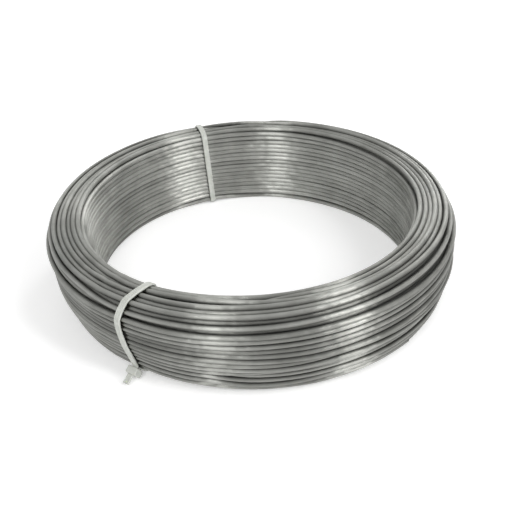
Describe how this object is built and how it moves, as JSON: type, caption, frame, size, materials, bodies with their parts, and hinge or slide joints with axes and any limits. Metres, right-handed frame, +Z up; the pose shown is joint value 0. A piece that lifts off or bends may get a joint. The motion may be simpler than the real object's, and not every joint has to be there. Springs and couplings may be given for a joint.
{
  "type": "coil of galvanised steel wire",
  "caption": "Flat-lying coil of bright drawn steel wire, wound as a ring with a wide eye and held by narrow nylon cable ties.",
  "frame": {"origin": "on the axis of the coil, at the floor that it lies on", "axes": "+Z up along the coil's axis; +X to the right and -Y to the front as the picture shows it"},
  "size_m": [0.24, 0.24, 0.0553],
  "materials": {
    "zinc_wire": "bright drawn zinc-coated wire",
    "tie_nylon": "natural moulded nylon, satin"
  },
  "bodies": {
    "root": {"wire_coil": "zinc_wire", "front_tie": "tie_nylon", "back_tie": "tie_nylon"}
  },
  "joints": []
}
